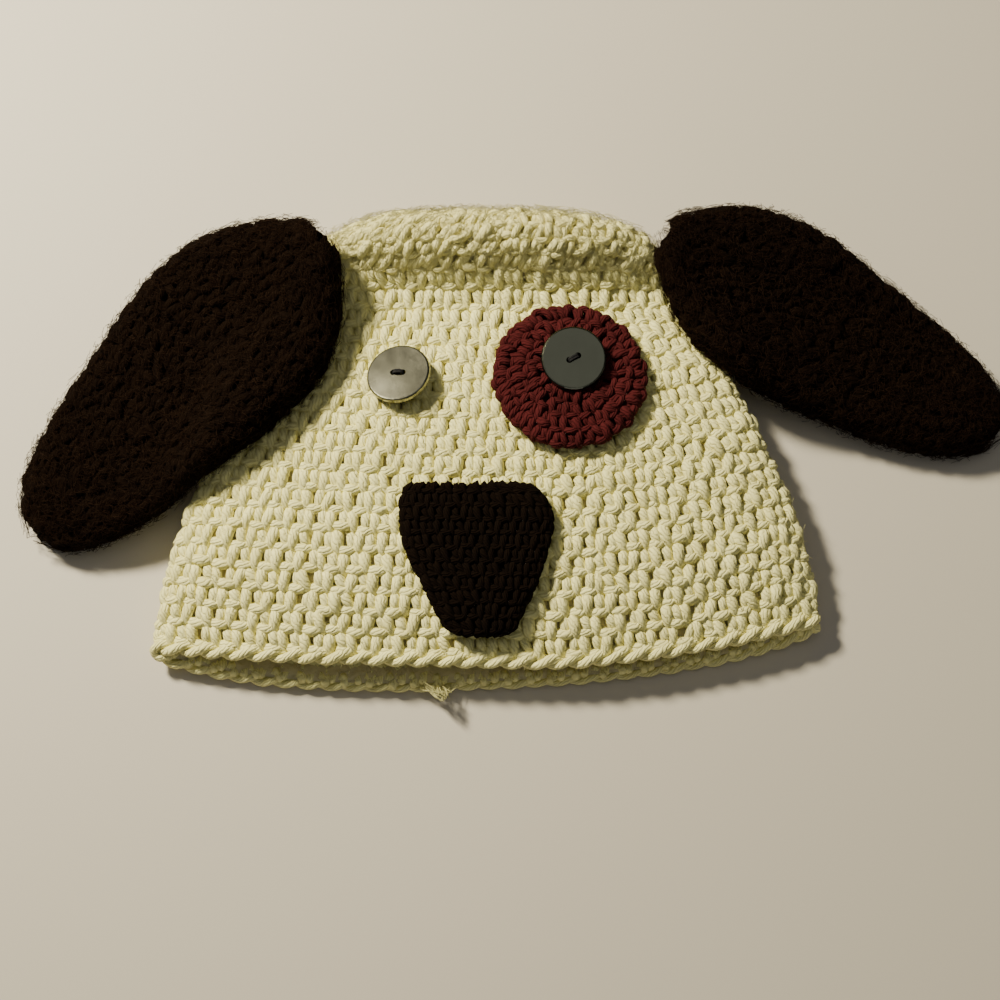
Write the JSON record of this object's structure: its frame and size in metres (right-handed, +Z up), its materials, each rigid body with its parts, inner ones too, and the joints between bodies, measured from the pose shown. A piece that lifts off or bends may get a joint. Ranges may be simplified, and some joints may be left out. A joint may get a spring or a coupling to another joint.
{
  "type": "baby hat with ears",
  "caption": "Crocheted baby hat lying flat: hollow cream crown open at the rim, two long brown ears at its top corners, a round eye patch, a nose and two sewn-on button eyes.",
  "frame": {"origin": "middle of the flat back of the crown, on the surface that the hat lies on", "axes": "+Z up out of the surface, through the face; +Y from the rim towards the crown's end; +X towards the ear beside the eye patch"},
  "size_m": [0.3113, 0.1531, 0.0337],
  "materials": {
    "cream_yarn": "matt crocheted worsted yarn, slightly fuzzy",
    "brown_yarn": "matt very dark brown crocheted yarn, hairy",
    "burgundy_yarn": "matt crocheted yarn",
    "button_metal": "satin grey metal with a fine turned grain",
    "black_thread": "matt sewing thread"
  },
  "bodies": {
    "root": {"crown": "cream_yarn", "ear_left": "brown_yarn", "ear_right": "brown_yarn", "eye_patch": "burgundy_yarn", "nose": "brown_yarn", "button_left": "button_metal", "button_right": "button_metal", "button_thread_left": "black_thread", "button_thread_right": "black_thread"}
  },
  "joints": []
}
